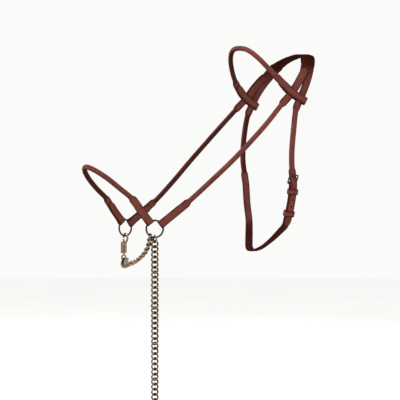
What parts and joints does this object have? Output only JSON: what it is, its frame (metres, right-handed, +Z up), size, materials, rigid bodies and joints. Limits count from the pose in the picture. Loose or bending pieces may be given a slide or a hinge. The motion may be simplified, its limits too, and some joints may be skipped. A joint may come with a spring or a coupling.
{
  "type": "bitless hackamore",
  "caption": "Rolled-leather headstall with browband, noseband, throatlash and two muzzle rings, and a curb-link chain under the chin that hangs on as a lead; no bit.",
  "frame": {"origin": "middle of the crown strap's flat underside, where it rests on the horse's poll", "axes": "+Z up, -X towards the horse's nose, -Y the horse's near (left) side"},
  "size_m": [0.4318, 0.1875, 0.712],
  "materials": {
    "brown_leather": "smooth, waxed, reddish brown",
    "cotton_cord": "twisted cord inside the rolled leather",
    "dark_steel": "dark plated wire",
    "aged_brass": "polished, darkened between the links"
  },
  "bodies": {
    "headstall": {"crown_strap": "brown_leather", "near_cheek_strap": "brown_leather", "off_cheek_strap": "brown_leather", "near_cheek_core": "cotton_cord", "off_cheek_core": "cotton_cord", "noseband": "brown_leather", "noseband_core": "cotton_cord", "browband": "brown_leather", "browband_core": "cotton_cord", "near_throatlash": "brown_leather", "near_throatlash_core": "cotton_cord", "throat_strap": "brown_leather", "throat_strap_core": "cotton_cord", "throat_fixed_keeper": "brown_leather"},
    "near_ring": {"near_ring": "dark_steel"},
    "off_ring": {"off_ring": "dark_steel"},
    "lead_chain_1": {"lead_chain_1": "aged_brass"},
    "lead_chain_2": {"lead_chain_2": "aged_brass"},
    "lead_chain_3": {"lead_chain_3": "aged_brass"},
    "lead_chain_4": {"lead_chain_4": "aged_brass"},
    "lead_chain_5": {"lead_chain_5": "aged_brass"},
    "lead_chain_6": {"lead_chain_6": "aged_brass"},
    "lead_end_ring": {"lead_end_ring": "aged_brass"},
    "chin_chain": {"chin_chain": "aged_brass", "snap_swivel": "aged_brass"},
    "snap_body": {"snap_body": "aged_brass", "snap_spring": "dark_steel"},
    "snap_bolt": {"snap_bolt": "aged_brass"},
    "throat_buckle_frame": {"throat_buckle_frame": "dark_steel"},
    "throat_buckle_prong": {"throat_buckle_prong": "dark_steel"},
    "throat_sliding_keeper": {"throat_sliding_keeper": "brown_leather"}
  },
  "joints": [
    {"name": "near_ring_turn", "type": "hinge", "parent": "headstall", "child": "near_ring", "pos_m": [-0.317, -0.06, -0.3058], "axis": [-0.309, -0.9511, 0], "range_deg": [0, 35]},
    {"name": "off_ring_turn", "type": "hinge", "parent": "headstall", "child": "off_ring", "pos_m": [-0.317, 0.06, -0.3058], "axis": [-0.309, 0.9511, 0], "range_deg": [-30, 30]},
    {"name": "lead_chain_swing", "type": "hinge", "parent": "near_ring", "child": "lead_chain_1", "pos_m": [-0.317, -0.06, -0.32], "axis": [0.9511, -0.309, 0], "range_deg": [-60, 2]},
    {"name": "lead_chain_bend_1", "type": "hinge", "parent": "lead_chain_1", "child": "lead_chain_2", "pos_m": [-0.317, -0.06, -0.3758], "axis": [-0.891, -0.454, 0], "range_deg": [-20, 20]},
    {"name": "lead_chain_bend_2", "type": "hinge", "parent": "lead_chain_2", "child": "lead_chain_3", "pos_m": [-0.317, -0.06, -0.4387], "axis": [0.454, -0.891, 0], "range_deg": [-20, 20]},
    {"name": "lead_chain_bend_3", "type": "hinge", "parent": "lead_chain_3", "child": "lead_chain_4", "pos_m": [-0.317, -0.06, -0.4942], "axis": [-0.891, -0.454, 0], "range_deg": [-20, 20]},
    {"name": "lead_chain_bend_4", "type": "hinge", "parent": "lead_chain_4", "child": "lead_chain_5", "pos_m": [-0.317, -0.06, -0.5571], "axis": [0.454, -0.891, 0], "range_deg": [-20, 20]},
    {"name": "lead_chain_bend_5", "type": "hinge", "parent": "lead_chain_5", "child": "lead_chain_6", "pos_m": [-0.317, -0.06, -0.6126], "axis": [-0.891, -0.454, 0], "range_deg": [-20, 20]},
    {"name": "lead_end_ring_swing", "type": "hinge", "parent": "lead_chain_6", "child": "lead_end_ring", "pos_m": [-0.317, -0.06, -0.67465], "axis": [0.9511, -0.309, 0], "range_deg": [-35, 35]},
    {"name": "chin_chain_swing", "type": "hinge", "parent": "headstall", "child": "chin_chain", "pos_m": [-0.317, 0.06, -0.3181], "axis": [0.0607, 0.998, -0.0183], "range_deg": [-6, 15]},
    {"name": "snap_turn", "type": "hinge", "parent": "chin_chain", "child": "snap_body", "pos_m": [-0.31824, 0.0638, -0.35], "axis": [0, 0, 1], "range_deg": [-10, 10]},
    {"name": "snap_bolt_slide", "type": "slide", "parent": "snap_body", "child": "snap_bolt", "axis": [0, 0, -1], "range_m": [0, 0.0042], "stiffness_N_per_m": 600, "springref_m": -0.002, "deforming": ["snap_spring"]},
    {"name": "throat_buckle_turn", "type": "hinge", "parent": "headstall", "child": "throat_buckle_frame", "pos_m": [-0.06453, -0.07973, -0.2287], "axis": [0.9958, -0.0016, 0.0919], "range_deg": [0, 5]},
    {"name": "throat_prong_turn", "type": "hinge", "parent": "throat_buckle_frame", "child": "throat_buckle_prong", "pos_m": [-0.06453, -0.07973, -0.2287], "axis": [0.9958, -0.0016, 0.0919], "range_deg": [0, 6]},
    {"name": "sliding_keeper_slide", "type": "slide", "parent": "headstall", "child": "throat_sliding_keeper", "axis": [-0.0716, 0.3134, -0.9469], "range_m": [-0.006, 0.004]}
  ]
}
